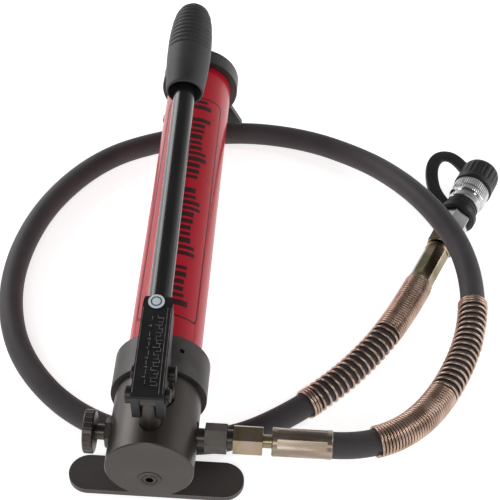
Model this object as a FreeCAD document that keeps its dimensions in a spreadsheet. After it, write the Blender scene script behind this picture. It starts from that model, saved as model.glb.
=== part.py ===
"""Two-stage hydraulic hand pump with its hose, quick coupler and dust cap.

Millimetres, +Z up, +Y rearwards along the pump, +X to the outlet side.
The origin is the middle of the front foot's underside, on the floor.
"""
import FreeCAD
import Part
import Sketcher
import math
import os

App = FreeCAD
V = App.Vector

os.makedirs("parts", exist_ok=True)
doc = App.newDocument("hand_pump")
sheet = doc.addObject("Spreadsheet::Sheet", "Dims")

DIMENSIONS = {
    # pump axis and head
    "axis_height": 58.5,
    "port_place": -1.0,
    "head_start": -33.0,
    "head_radius": 32.65,
    "head_length": 66.5,
    "edge_bevel": 0.8,
    "seat_height": 86.5,
    # tank
    "collar_start": 33.5,
    "collar_length": 33.2,
    "collar_radius": 36.5,
    "tank_radius": 28.5,
    "tank_bore": 26.0,
    "tank_start": 34.0,
    "tank_length": 370.0,
    "spigot_radius": 25.95,
    "cap_start": 394.5,
    "cap_length": 18.0,
    "cap_radius": 34.4,
    "ring_groove_radius": 23.9,
    "ring_section": 1.0,
    "ring_centre_radius": 24.95,
    # feet
    "foot_half_span": 51.2,
    "foot_half_width": 16.0,
    "foot_thickness": 5.0,
    "riser_width": 30.0,
    "riser_length": 26.0,
    "foot_screw_offset": 9.0,
    "stand_thickness": 6.0,
    "stand_start": 412.5,
    "stand_half_width": 38.0,
    "stand_height": 62.0,
    # fulcrum and plunger
    "post_place": -13.0,
    "post_radius": 8.0,
    "post_bore": 6.05,
    "tang_thickness": 11.0,
    "fulcrum_height": 121.0,
    "pin_radius": 5.0,
    "plunger_place": 12.7,
    "plunger_pin_height": 114.0,
    "plunger_radius": 10.0,
    "rod_radius": 7.0,
    "gland_radius": 14.0,
    "running_fit": 0.05,
    # lever
    "lever_slope": 8.5,
    "fork_width": 23.4,
    "fork_gap": 11.5,
    "tube_radius": 8.5,
    "tube_bore": 6.5,
    "tube_start": 46.0,
    "tube_length": 300.0,
    "tube_rise": 1.0,
    "grip_start": 281.0,
    "grip_length": 94.0,
    "grip_radius": 18.0,
    # outlet fittings, measured from the pump axis
    "adapter_start": 14.0,
    "outlet_hex": 19.6,
    "nut_hex": 20.4,
    "nut_start": 59.0,
    "nut_length": 21.6,
    "ferrule_start": 87.4,
    "ferrule_length": 44.5,
    "ferrule_radius": 10.8,
    "ferrule_flats": 20.4,
    "neck_radius": 5.0,
    # release valve
    "knob_radius": 16.4,
    "knob_start": 43.3,
    "knob_width": 7.9,
    "spindle_radius": 4.5,
    "gland_hex": 20.0,
    # hose and coupler
    "hose_radius": 10.0,
    "hose_bore": 5.0,
    "guard_radius": 12.6,
    "guard_bore": 10.1,
    "coupler_x": 203.0,
    "coupler_y": 202.7,
    "coupler_height": 17.6,
    "coupler_heading": 67.3,
    "coupler_hex": 24.5,
    "nose_radius": 9.0,
    "sleeve_radius": 16.4,
    "lip_radius": 15.0,
    "coupler_bore": 5.0,
    "ring_radius": 14.4,
    "dust_cap_radius": 17.5,
    "strap_half_width": 5.6,
    "strap_half_height": 2.4,
}


def fill_sheet():
    """Write every driving dimension in the sheet with its alias."""
    for row, (alias, value) in enumerate(DIMENSIONS.items(), start=1):
        sheet.set("A%d" % row, alias.replace("_", " "))
        sheet.set("B%d" % row, repr(value))
        sheet.setAlias("B%d" % row, alias)
    doc.recompute()


fill_sheet()


def term_value(term):
    """Return the number of one term: a number, an alias or a product of them."""
    product = 1.0
    for factor in term.split("*"):
        if factor in DIMENSIONS:
            product *= float(sheet.get(factor))
        else:
            product *= float(factor)
    return product


def value_of(size):
    """Return the number that a sum of terms such as 'head_radius - 0.5' gives."""
    total = 0.0
    sign = 1.0
    for word in str(size).split():
        if word in "+-":
            sign = 1.0 if word == "+" else -1.0
            continue
        total += sign * term_value(word)
        sign = 1.0
    return total


def bound(size):
    """Return the same sum as an expression on the sheet's cells."""
    words = []
    for word in str(size).split():
        factors = ["Dims." + f if f in DIMENSIONS else f for f in word.split("*")]
        words.append(word if word in "+-" else " * ".join(factors))
    return " ".join(words)


TURN_X_TO = {
    "+X": App.Rotation(V(0, 0, 1), 0),
    "-X": App.Rotation(V(0, 0, 1), 180),
    "+Y": App.Rotation(V(0, 0, 1), 90),
    "-Y": App.Rotation(V(0, 0, 1), -90),
    "+Z": App.Rotation(V(0, 1, 0), -90),
    "-Z": App.Rotation(V(0, 1, 0), 90),
}
TURN_Z_TO = {
    "+X": App.Rotation(V(0, 1, 0), 90),
    "-X": App.Rotation(V(0, 1, 0), -90),
    "+Y": App.Rotation(V(1, 0, 0), -90),
    "-Y": App.Rotation(V(1, 0, 0), 90),
    "+Z": App.Rotation(),
    "-Z": App.Rotation(V(1, 0, 0), 180),
}


def put(item, at, rotation):
    """Place an object, with its position bound to the sheet."""
    item.Placement = App.Placement(V(*[value_of(size) for size in at]), rotation)
    for axis, size in zip("xyz", at):
        item.setExpression("Placement.Base." + axis, bound(size))
    return item


def rolled(along, degrees):
    """The turn that lays Z along an axis, rolled about that axis."""
    return TURN_Z_TO[along].multiply(App.Rotation(V(0, 0, 1), degrees))


def origin_plane(body, role):
    """Return one of a body's own origin planes."""
    return [f for f in body.Origin.OriginFeatures if f.Role == role][0]


def draw_outline(sketch, points):
    """Draw a closed polygon whose corners are bound to sheet sizes."""
    count = len(points)
    corners = [V(value_of(a), value_of(b), 0) for a, b in points]
    for i in range(count):
        sketch.addGeometry(Part.LineSegment(corners[i], corners[(i + 1) % count]), False)
    for i in range(count):
        sketch.addConstraint(Sketcher.Constraint("Coincident", i, 2, (i + 1) % count, 1))
    for i, sizes in enumerate(points):
        for kind, line, size in (("DistanceX", -2, sizes[0]), ("DistanceY", -1, sizes[1])):
            if abs(value_of(size)) < 1e-9:
                sketch.addConstraint(Sketcher.Constraint("PointOnObject", i, 1, line))
                continue
            rule = Sketcher.Constraint(kind, -1, 1, i, 1, value_of(size))
            index = sketch.addConstraint(rule)
            sketch.setExpression("Constraints[%d]" % index, bound(size))


def turned(label, points, along="+X", at=("0", "0", "0")):
    """Revolve an outline of (distance along the axis, radius) corners."""
    body = doc.addObject("PartDesign::Body", label)
    sketch = body.newObject("Sketcher::SketchObject", label + "_outline")
    sketch.AttachmentSupport = (origin_plane(body, "XY_Plane"), "")
    sketch.MapMode = "FlatFace"
    draw_outline(sketch, points)
    doc.recompute()
    revolution = body.newObject("PartDesign::Revolution", label + "_turned")
    revolution.Profile = sketch
    revolution.ReferenceAxis = (sketch, ["H_Axis"])
    revolution.Angle = 360
    body.Tip = revolution
    rotation = along if isinstance(along, App.Rotation) else TURN_X_TO[along]
    return put(body, at, rotation)


def padded(label, plane, points, length):
    """A slab drawn on one origin plane and thickened both ways from it."""
    body = doc.addObject("PartDesign::Body", label)
    sketch = body.newObject("Sketcher::SketchObject", label + "_outline")
    sketch.AttachmentSupport = (origin_plane(body, plane), "")
    sketch.MapMode = "FlatFace"
    draw_outline(sketch, points)
    doc.recompute()
    pad = body.newObject("PartDesign::Pad", label + "_pad")
    pad.Profile = sketch
    pad.setExpression("Length", bound(length))
    pad.Midplane = True
    body.Tip = pad
    return body


def rod(label, radius, length, along, at):
    """A plain cylinder that starts at a point and runs along an axis."""
    item = doc.addObject("Part::Cylinder", label)
    item.setExpression("Radius", bound(radius))
    item.setExpression("Height", bound(length))
    rotation = along if isinstance(along, App.Rotation) else TURN_Z_TO[along]
    return put(item, at, rotation)


def block(label, size, at, rotation=App.Rotation()):
    """A box with one corner at a point."""
    item = doc.addObject("Part::Box", label)
    for side, length in zip(("Length", "Width", "Height"), size):
        item.setExpression(side, bound(length))
    return put(item, at, rotation)


def prism(label, sides, flats, length, along, at):
    """A regular prism given by its width across flats."""
    item = doc.addObject("Part::Prism", label)
    item.Polygon = sides
    corner = 0.5 / math.cos(math.pi / sides)
    item.setExpression("Circumradius", "(%s) * %.9f" % (bound(flats), corner))
    item.setExpression("Height", bound(length))
    rotation = along if isinstance(along, App.Rotation) else TURN_Z_TO[along]
    return put(item, at, rotation)


def cut(label, base, *tools):
    """Take the tools away from the base."""
    tool = tools[0] if len(tools) == 1 else joined(label + "_tools", *tools)
    item = doc.addObject("Part::Cut", label)
    item.Base = base
    item.Tool = tool
    return item


def joined(label, *shapes):
    """Fuse shapes that touch, or keep separate ones together."""
    item = doc.addObject("Part::MultiFuse", label)
    item.Shapes = list(shapes)
    return item


def common(label, first, second):
    """Keep what two shapes share."""
    item = doc.addObject("Part::Common", label)
    item.Base = first
    item.Tool = second
    return item


NODES = []


def node(item, name):
    """Name a finished sub-part; its label is its file name."""
    item.Label = name
    NODES.append(item)
    return item


def ring_seal(name, centre_radius, section, along, at):
    """A rubber O-ring."""
    item = doc.addObject("Part::Torus", name)
    item.setExpression("Radius1", bound(centre_radius))
    item.setExpression("Radius2", bound(section))
    return node(put(item, at, TURN_Z_TO[along]), name)


# ---------------------------------------------------------------- pump head
def make_pump_body():
    """The steel head: plunger bore, ports, seats and the tank spigot."""
    blank = turned("head_blank", [
        ("0", "0"), ("0", "head_radius - edge_bevel"), ("edge_bevel", "head_radius"),
        ("head_length", "head_radius"), ("head_length", "spigot_radius"),
        ("head_length + 13", "spigot_radius"), ("head_length + 13", "ring_groove_radius"),
        ("head_length + 15.4", "ring_groove_radius"), ("head_length + 15.4", "spigot_radius"),
        ("head_length + 23", "spigot_radius"), ("head_length + 23", "15"),
        ("head_length + 36", "15"), ("head_length + 36", "0"),
    ], "+Y", ("0", "head_start", "axis_height"))
    post_at = ("0", "post_place")
    plunger_at = ("0", "plunger_place")
    left = ("port_place", "axis_height")
    tools = [
        rod("post_seat", "post_radius + 0.4", "20", "+Z", post_at + ("seat_height",)),
        rod("gland_seat", "15.3", "20", "+Z", plunger_at + ("seat_height",)),
        rod("post_hole", "post_bore", "40", "+Z", post_at + ("seat_height - 16",)),
        rod("gland_hole", "12.05", "40", "+Z", plunger_at + ("seat_height - 12",)),
        rod("plunger_hole", "plunger_radius + running_fit", "60", "+Z", plunger_at + ("34",)),
        rod("outlet_hole", "6.8", "30", "+X", ("adapter_start - 0.5",) + left),
        rod("outlet_passage", "2.5", "20", "+X", ("0",) + left),
        rod("outlet_seat", "11.5", "10", "+X", ("31.2",) + left),
        rod("release_hole", "8.05", "30", "-X", ("-16",) + left),
        rod("release_tip_hole", "5", "12", "-X", ("-8",) + left),
        rod("release_passage", "1.5", "12", "-X", ("0",) + left),
        rod("release_seat", "12", "10", "-X", ("-31",) + left),
        rod("relief_hole", "5.55", "16", "+Y", ("0", "head_start - 1", "axis_height - 11")),
        rod("washer_seat", "9", "1.9", "+Y", ("0", "head_start - 1", "axis_height - 11")),
        rod("relief_passage", "2", "40", "+Y", ("0", "head_start + 8", "axis_height - 11")),
        rod("suction_passage", "3", "60", "+Y", ("0", "plunger_place", "axis_height - 11")),
        rod("foot_hole_left", "3", "26", "+Z", ("-1*foot_screw_offset", "0", "14")),
        rod("foot_hole_right", "3", "26", "+Z", ("foot_screw_offset", "0", "14")),
    ]
    node(cut("pump_body", blank, *tools), "pump_body")


def make_relief_plug():
    """The socket plug and its sealing washer low on the front face."""
    at = ("0", "head_start + 12", "axis_height - 11")
    plug = turned("relief_plug_blank", [
        ("0", "0"), ("0", "4.6"), ("0.8", "5.5"), ("12", "5.5"), ("12.6", "4.9"), ("12.6", "0"),
    ], "-Y", at)
    socket = prism("relief_socket", 6, "5.5", "8", "-Y", ("0", "head_start + 4", "axis_height - 11"))
    node(cut("relief_plug", plug, socket), "relief_plug")
    node(turned("relief_washer", [
        ("0", "5.8"), ("0", "8.4"), ("0.4", "8.8"), ("1.2", "8.8"), ("1.2", "5.8"),
    ], "-Y", ("0", "head_start + 0.9", "axis_height - 11")), "relief_washer")


def make_tank():
    """The reservoir's tube and the collar that holds it on the head."""
    node(turned("tank_tube", [
        ("0", "tank_bore"), ("0", "tank_radius"),
        ("tank_length", "tank_radius"), ("tank_length", "tank_bore"),
    ], "+Y", ("0", "tank_start", "axis_height")), "tank_tube")
    collar = turned("collar_blank", [
        ("0", "tank_radius + running_fit"), ("0", "collar_radius - 0.4"), ("0.4", "collar_radius"),
        ("collar_length - 0.4", "collar_radius"), ("collar_length", "collar_radius - 0.4"),
        ("collar_length", "tank_radius + running_fit"),
    ], "+Y", ("0", "collar_start", "axis_height"))
    lean = App.Rotation(V(0, 1, 0), 27)
    at = ("0", "collar_start + 20", "axis_height")
    hole = rod("set_screw_hole", "2.05", "60", lean, at)
    node(cut("tank_collar", collar, hole), "tank_collar")
    shank = rod("set_screw_blank", "2", "6", lean,
                ("0.453990*tank_radius", "collar_start + 20", "axis_height + 0.891007*tank_radius"))
    key = rod("set_screw_key", "1", "3", lean,
              ("0.453990*tank_radius + 1.9", "collar_start + 20",
               "axis_height + 0.891007*tank_radius + 3.7"))
    node(cut("collar_set_screw", shank, key), "collar_set_screw")


def make_end_cap():
    """The rear cap with its filler plug."""
    cap = turned("cap_blank", [
        ("0", "0"), ("0", "spigot_radius"), ("3", "spigot_radius"), ("3", "ring_groove_radius"),
        ("5.4", "ring_groove_radius"), ("5.4", "spigot_radius"), ("18.5", "spigot_radius"),
        ("18.5", "tank_radius + running_fit"), ("8.5", "tank_radius + running_fit"),
        ("8.5", "cap_radius - 0.5"), ("9", "cap_radius"), ("cap_length + 7", "cap_radius"),
        ("cap_length + 8.5", "cap_radius - 1.5"), ("cap_length + 8.5", "0"),
    ], "+Y", ("0", "cap_start - 8.5", "axis_height"))
    filler = rod("filler_hole", "5.05", "40", "+Y", ("0", "cap_start - 20", "axis_height + 20"))
    holes = [rod("stand_hole_" + side, "2.5", "12", "-Y",
                 (place, "cap_start + cap_length + 1", "48"))
             for side, place in (("left", "-9"), ("right", "9"))]
    node(cut("end_cap", cap, filler, *holes), "end_cap")
    plug = turned("filler_blank", [
        ("0", "0"), ("0", "5"), ("12", "5"), ("12", "7"), ("12.6", "7.6"), ("16", "7.6"),
        ("16.6", "7"), ("16.6", "0"),
    ], "+Y", ("0", "cap_start + cap_length - 12", "axis_height + 20"))
    socket = prism("filler_socket", 6, "5", "6", "+Y",
                   ("0", "cap_start + cap_length + 1.6", "axis_height + 20"))
    node(cut("filler_plug", plug, socket), "filler_plug")


def make_tank_inside():
    """The two seals, the oil bladder with its clamp, and the strainer."""
    ring_seal("tank_seal_front", "ring_centre_radius", "ring_section", "+Y",
              ("0", "head_start + head_length + 14.2", "axis_height"))
    ring_seal("tank_seal_rear", "ring_centre_radius", "ring_section", "+Y",
              ("0", "cap_start - 4.3", "axis_height"))
    node(turned("oil_bladder", [
        ("0", "15.05"), ("0", "17"), ("14", "17"), ("24", "24.5"), ("300", "24.5"), ("306", "18"),
        ("306", "0"), ("304.5", "0"), ("304.5", "17.3"), ("299.3", "23"), ("24.7", "23"), ("15", "15.05"),
    ], "+Y", ("0", "head_start + head_length + 24", "axis_height")), "oil_bladder")
    node(turned("bladder_clamp", [
        ("0", "17.05"), ("0", "18.6"), ("6", "18.6"), ("6", "17.05"),
    ], "+Y", ("0", "head_start + head_length + 27", "axis_height")), "bladder_clamp")
    node(turned("suction_strainer", [
        ("0", "2"), ("0", "2.95"), ("18", "2.95"), ("18", "6"), ("46", "6"), ("46", "0"),
        ("45", "0"), ("45", "5"), ("19", "5"), ("19", "2"),
    ], "+Y", ("0", "head_start + head_length + 30", "axis_height - 11")), "suction_strainer")


# --------------------------------------------------------------------- feet
SIDES = ("left", "right")


def make_front_foot():
    """The front foot bar on its riser."""
    bar = block("foot_bar", ("2*foot_half_span", "2*foot_half_width", "foot_thickness"),
                ("-1*foot_half_span", "-1*foot_half_width", "0"))
    ends = [rod("foot_end_" + side, "foot_half_width", "foot_thickness", "+Z", (place, "0", "0"))
            for side, place in zip(SIDES, ("-1*foot_half_span", "foot_half_span"))]
    sinks = []
    for side, place in zip(SIDES, ("-1*foot_screw_offset", "foot_screw_offset")):
        sinks.append(turned("foot_sink_" + side, [
            ("0", "0"), ("0", "6.4"), ("0.6", "6.4"), ("3.75", "3.25"), ("6", "3.25"), ("6", "0"),
        ], "+Z", (place, "0", "0")))
    node(cut("front_foot", joined("foot_slab", bar, *ends), *sinks), "front_foot")
    riser = block("riser_block", ("riser_width", "riser_length", "27"),
                  ("-0.5*riser_width", "-0.5*riser_length", "foot_thickness"))
    saddle = rod("riser_saddle", "head_radius + 0.05", "80", "+Y", ("0", "-40", "axis_height"))
    clear = [rod("riser_hole_" + side, "3.25", "40", "+Z", (place, "0", "0"))
             for side, place in zip(SIDES, ("-1*foot_screw_offset", "foot_screw_offset"))]
    node(cut("foot_riser", riser, saddle, *clear), "foot_riser")


def make_foot_screws():
    """The two countersunk screws under the front foot."""
    screws = []
    for side, place in zip(SIDES, ("-1*foot_screw_offset", "foot_screw_offset")):
        screw = turned("foot_screw_" + side, [
            ("0", "0"), ("0", "6"), ("3.4", "2.95"), ("36", "2.95"), ("37", "2"), ("37", "0"),
        ], "+Z", (place, "0", "0.5"))
        key = prism("foot_screw_key_" + side, 6, "4", "2.5", "+Z", (place, "0", "0"))
        screws.append(cut("foot_screw_cut_" + side, screw, key))
    node(joined("foot_screws", *screws), "foot_screws")


def make_rear_stand():
    """The stand plate on the end cap and its two screws."""
    plate = put(padded("stand_plate", "XZ_Plane", [
        ("stand_half_width", "0"), ("stand_half_width", "3"), ("13", "stand_height - 12"),
        ("7", "stand_height"), ("-7", "stand_height"), ("-13", "stand_height - 12"),
        ("-1*stand_half_width", "3"), ("-1*stand_half_width", "0"), ("-20", "0"), ("-14", "12"),
        ("14", "12"), ("20", "0"),
    ], "stand_thickness"), ("0", "stand_start + 0.5*stand_thickness", "0"), App.Rotation())
    holes = [rod("plate_hole_" + side, "2.7", "20", "-Y", (place, "stand_start + 12", "48"))
             for side, place in zip(SIDES, ("-9", "9"))]
    node(cut("rear_stand", plate, *holes), "rear_stand")
    screws = []
    for side, place in zip(SIDES, ("-9", "9")):
        screw = turned("stand_screw_" + side, [
            ("0", "0"), ("0", "4"), ("0.6", "4.4"), ("4.5", "4.4"), ("4.5", "2.45"), ("19", "2.45"),
            ("19", "0"),
        ], "-Y", (place, "stand_start + stand_thickness + 4.5", "48"))
        key = prism("stand_screw_key_" + side, 6, "4", "4", "-Y",
                    (place, "stand_start + stand_thickness + 6.5", "48"))
        screws.append(cut("stand_screw_cut_" + side, screw, key))
    node(joined("stand_screws", *screws), "stand_screws")


# -------------------------------------------------------- fulcrum and plunger
def make_fulcrum():
    """The post screwed in the head and its rounded tang."""
    shaft = turned("post_shaft", [
        ("0", "0"), ("0", "5.2"), ("0.8", "post_bore - running_fit"),
        ("15.5", "post_bore - running_fit"), ("15.5", "post_radius"), ("38", "post_radius"),
        ("44", "6"), ("44", "0"),
    ], "+Z", ("0", "post_place", "seat_height - 15.5"))
    eye = rod("post_eye", "post_radius", "tang_thickness", "+X",
              ("-0.5*tang_thickness", "post_place", "fulcrum_height"))
    web = block("post_web", ("tang_thickness", "2*post_radius", "24"),
                ("-0.5*tang_thickness", "post_place - post_radius", "fulcrum_height - 24"))
    slab = block("post_slab", ("tang_thickness", "40", "60"),
                 ("-0.5*tang_thickness", "post_place - 20", "fulcrum_height - 20"))
    keep = block("post_keep", ("40", "40", "60"),
                 ("-20", "post_place - 20", "fulcrum_height - 80"))
    shaft_low = common("post_low", shaft, keep)
    shaft_high = common("post_high", shaft, slab)
    hole = rod("post_pin_hole", "pin_radius + running_fit", "60", "+X",
               ("-30", "post_place", "fulcrum_height"))
    post = joined("post_joined", shaft_low, shaft_high, eye,
                  common("post_web_round", web, rod("post_web_rod", "post_radius + 0.01", "60", "+Z",
                                                    ("0", "post_place", "fulcrum_height - 40"))))
    node(cut("fulcrum_post", post, hole), "fulcrum_post")


def make_plunger_gland():
    """The gland screwed in the head and its wiper."""
    gland = turned("gland_blank", [
        ("0", "rod_radius + running_fit"), ("0", "11.2"), ("0.8", "12"), ("12", "12"),
        ("12", "gland_radius + 1"), ("20", "gland_radius + 1"), ("21", "gland_radius"),
        ("21", "9.6"), ("17", "9.6"), ("17", "rod_radius + running_fit"),
    ], "+Z", ("0", "plunger_place", "seat_height - 12"))
    flats = prism("gland_flats", 6, "2*gland_radius - 1", "60", "+Z",
                  ("0", "plunger_place", "seat_height - 30"))
    node(common("plunger_gland", gland, flats), "plunger_gland")
    node(turned("rod_wiper", [
        ("0", "rod_radius + 0.02"), ("0", "9.55"), ("3.4", "9.55"), ("4.4", "rod_radius + 0.02"),
    ], "+Z", ("0", "plunger_place", "seat_height + 5.1")), "rod_wiper")


def make_plunger():
    """The two-diameter plunger with its slotted eye, and its seal."""
    rod_body = turned("plunger_blank", [
        ("0", "0"), ("0", "9.2"), ("0.8", "plunger_radius"), ("4.6", "plunger_radius"),
        ("4.6", "7.9"), ("7.2", "7.9"), ("7.2", "plunger_radius"), ("12", "plunger_radius"),
        ("13", "rod_radius"), ("84", "rod_radius"), ("84", "0"),
    ], "+Z", ("0", "plunger_place", "plunger_pin_height - 74"))
    tang_cut = [block("plunger_side_" + side, ("10", "30", "30"),
                      (place, "plunger_place - 15", "plunger_pin_height - 14.3"))
                for side, place in (("left", "-15.4"), ("right", "5.4"))]
    slot_left = rod("slot_front", "pin_radius + 0.3", "40", "+X",
                    ("-20", "plunger_place - 2.1", "plunger_pin_height"))
    slot_right = rod("slot_rear", "pin_radius + 0.3", "40", "+X",
                     ("-20", "plunger_place + 1.1", "plunger_pin_height"))
    slot_mid = block("slot_middle", ("40", "3.2", "2*pin_radius + 0.6"),
                     ("-20", "plunger_place - 2.1", "plunger_pin_height - pin_radius - 0.3"))
    eye = rod("plunger_eye", "9.6", "10.8", "+X", ("-5.4", "plunger_place", "plunger_pin_height"))
    whole = joined("plunger_joined", cut("plunger_flats", rod_body, *tang_cut), eye)
    node(cut("plunger", whole, slot_left, slot_right, slot_mid), "plunger")
    ring_seal("plunger_seal", "8.98", "1", "+Z",
              ("0", "plunger_place", "plunger_pin_height - 68.1"))


# -------------------------------------------------------------------- lever
SLOPE = App.Rotation(V(1, 0, 0), value_of("lever_slope"))
LEVER_SINE = math.sin(math.radians(value_of("lever_slope")))
LEVER_COSINE = math.cos(math.radians(value_of("lever_slope")))


def lever_point(along, rise):
    """A place on the lever, from its distance along and above the fulcrum pin."""
    out = "post_place + %.9f*%s - %.9f*%s" % (LEVER_COSINE, along, LEVER_SINE, rise)
    up = "fulcrum_height + %.9f*%s + %.9f*%s" % (LEVER_SINE, along, LEVER_COSINE, rise)
    return ("0", out, up)


def make_fork():
    """The cast fork: two cheeks under a flat web that narrows to the tube."""
    side = put(padded("fork_side", "YZ_Plane", [
        ("-9.5", "-16"), ("-9.5", "10.4"), ("-8.4", "11.8"), ("-6.5", "12.2"), ("76", "10.6"),
        ("76", "-9"), ("50", "-11"), ("36", "-18"), ("24", "-19.5"), ("15", "-16.6"),
        ("4", "-16.6"), ("-6.5", "-17.6"), ("-8.7", "-17.2"),
    ], "fork_width + 4"), lever_point("0", "0"), SLOPE)
    plan = put(padded("fork_plan", "XY_Plane", [
        ("-0.5*fork_width", "-9.5"), ("0.5*fork_width", "-9.5"), ("0.5*fork_width - 0.8", "70.5"),
        ("tube_radius + 1.4", "76"), ("-1*tube_radius - 1.4", "76"),
        ("-0.5*fork_width + 0.8", "70.5"),
    ], "80"), lever_point("0", "0"), SLOPE)
    gap = block("fork_slot", ("fork_gap", "70", "38.5"), lever_point("-20", "-30"), SLOPE)
    gap.setExpression("Placement.Base.x", bound("-0.5*fork_gap"))
    bore = rod("fork_bore", "tube_radius + 0.02", "60", SLOPE.multiply(TURN_Z_TO["+Y"]),
               lever_point("tube_start - 0.5", "tube_rise"))
    pins = [rod("fork_pin_hole", "pin_radius + 0.02", "60", "+X", lever_point("0", "0")),
            rod("fork_plunger_hole", "pin_radius + 0.02", "60", "+X",
                ("0", "plunger_place", "plunger_pin_height"))]
    for hole in pins:
        hole.setExpression("Placement.Base.x", "-30")
    node(cut("lever_fork", common("fork_solid", side, plan), gap, bore, *pins), "lever_fork")


def make_pins():
    """The two clevis pins and the clips that hold them."""
    node(turned("fulcrum_pin", [
        ("0", "0"), ("0", "6"), ("0.6", "6.5"), ("4.6", "6.5"), ("4.6", "pin_radius"),
        ("29.2", "pin_radius"), ("29.2", "3.6"), ("30.4", "3.6"), ("30.4", "pin_radius"),
        ("31.6", "pin_radius"), ("32.2", "4.4"), ("32.2", "0"),
    ], "+X", ("-0.5*fork_width - 4.8", "post_place", "fulcrum_height")), "fulcrum_pin")
    node(turned("plunger_pin", [
        ("0", "0"), ("0", "5.4"), ("0.6", "6"), ("5", "6"), ("5", "pin_radius"),
        ("29.6", "pin_radius"), ("29.6", "3.6"), ("30.8", "3.6"), ("30.8", "pin_radius"),
        ("32", "pin_radius"), ("32.6", "4.4"), ("32.6", "0"),
    ], "-X", ("0.5*fork_width + 5.2", "plunger_place", "plunger_pin_height")), "plunger_pin")
    clips = []
    for side, along, out, at in (
            ("fulcrum", "+X", "0.5*fork_width + 1.05", ("post_place", "fulcrum_height")),
            ("plunger", "-X", "-0.5*fork_width - 1.05", ("plunger_place", "plunger_pin_height"))):
        ring = turned("clip_ring_" + side, [
            ("0", "3.65"), ("0", "6.4"), ("1", "6.4"), ("1", "3.65"),
        ], along, (out,) + at)
        mouth = block("clip_mouth_" + side, ("6", "5", "12"),
                      (out + " - 3", at[0] + " - 2.5", at[1] + " - 14"))
        clips.append(cut("clip_cut_" + side, ring, mouth))
    node(joined("pin_clips", *clips), "pin_clips")


def make_handle():
    """The lever tube and its moulded rubber grip."""
    along = SLOPE.multiply(App.Rotation(V(0, 0, 1), 90))
    node(turned("handle_tube", [
        ("0", "tube_bore"), ("0", "tube_radius"), ("tube_length", "tube_radius"),
        ("tube_length", "tube_bore"),
    ], along, lever_point("tube_start", "tube_rise")), "handle_tube")
    outline = [
        ("0", "grip_radius - 4.4"), ("0.6", "grip_radius - 3.2"), ("2", "grip_radius - 2.7"),
        ("12", "grip_radius - 1.7"), ("24", "grip_radius - 0.7"), ("36", "grip_radius - 0.1"),
        ("50", "grip_radius"), ("62", "grip_radius - 0.4"), ("74", "grip_radius - 1.5"),
        ("83", "grip_radius - 3.2"), ("89", "grip_radius - 5.6"), ("92.5", "grip_radius - 8.8"),
        ("grip_length", "grip_radius - 13"), ("grip_length", "0"),
        ("tube_start + tube_length - grip_start + 0.2", "0"),
        ("tube_start + tube_length - grip_start + 0.2", "tube_radius + 0.02"),
        ("26", "tube_radius + 0.02"), ("18", "grip_radius - 4.2"),
    ]
    node(turned("handle_grip", outline, along, lever_point("grip_start", "tube_rise")), "handle_grip")


# ------------------------------------------------------------ release valve
def make_release_valve():
    """The gland, spindle, knob, stop pin and ball on the left."""
    at = ("port_place", "axis_height")
    gland = turned("release_gland_blank", [
        ("0", "spindle_radius + running_fit"), ("0", "8"), ("15", "8"), ("15", "11.6"),
        ("18.6", "11.6"), ("19.4", "10.6"), ("19.4", "spindle_radius + running_fit"),
    ], "-X", ("-16",) + at)
    flats = prism("release_gland_flats", 6, "gland_hex", "40", "-X", ("-10",) + at)
    pin_hole = rod("stop_pin_hole", "1.2", "30", "-X", ("-31.5", "port_place", "axis_height - 7.6"))
    node(cut("release_gland", common("release_gland_hex", gland, flats), pin_hole), "release_gland")
    node(rod("stop_pin", "1.2", "11", "-X", ("-31.5", "port_place", "axis_height - 7.6")), "stop_pin")
    node(turned("release_spindle", [
        ("0", "0"), ("0", "1.6"), ("3", "4.2"), ("3.6", "spindle_radius"),
        ("22.6", "spindle_radius"), ("22.6", "5.75"), ("knob_start - 13.7", "5.75"),
        ("knob_start - 13.7", "3.2"),
        ("37.2", "3.2"), ("37.2", "0"),
    ], "-X", ("-13.7",) + at), "release_spindle")
    knob = turned("knob_blank", [
        ("0", "3.22"), ("0", "knob_radius - 1"), ("1", "knob_radius"),
        ("knob_width - 1", "knob_radius"), ("knob_width", "knob_radius - 1"),
        ("knob_width", "6"), ("knob_width - 0.8", "5.2"), ("knob_width - 0.8", "3.22"),
    ], "-X", ("-1*knob_start",) + at)
    scallops = []
    for i in range(24):
        turn = math.radians(15 * i)
        scallops.append(rod("scallop_%02d" % i, "0.9", "knob_width + 4", "-X", (
            "-1*knob_start + 2", "port_place + %.6f*knob_radius" % (1.025 * math.cos(turn)),
            "axis_height + %.6f*knob_radius" % (1.025 * math.sin(turn)))))
    node(cut("release_knob", knob, *scallops), "release_knob")
    ball = doc.addObject("Part::Sphere", "release_ball")
    ball.Radius = 3
    node(put(ball, ("-10.65",) + at, App.Rotation()), "release_ball")


# ---------------------------------------------------------- outlet fittings
def crimped_ferrule(name, along, rotation, at_start):
    """A ferrule with eight pressed flats between two round ends."""
    blank = turned(name + "_blank", [
        ("0", "neck_radius + 0.02"), ("0", "ferrule_radius - 0.6"), ("0.6", "ferrule_radius"),
        ("ferrule_length - 0.6", "ferrule_radius"), ("ferrule_length", "ferrule_radius - 0.6"),
        ("ferrule_length", "neck_radius + 0.02"),
    ], along, at_start("0"))
    ends = [rod(name + "_front", "ferrule_radius + 1", "4", rotation, at_start("0")),
            rod(name + "_rear", "ferrule_radius + 1", "4", rotation, at_start("ferrule_length - 4"))]
    flats = prism(name + "_flats", 8, "ferrule_flats", "ferrule_length", rotation, at_start("0"))
    keep = joined(name + "_keep", flats, *ends)
    node(common(name, blank, keep), name)


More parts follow.
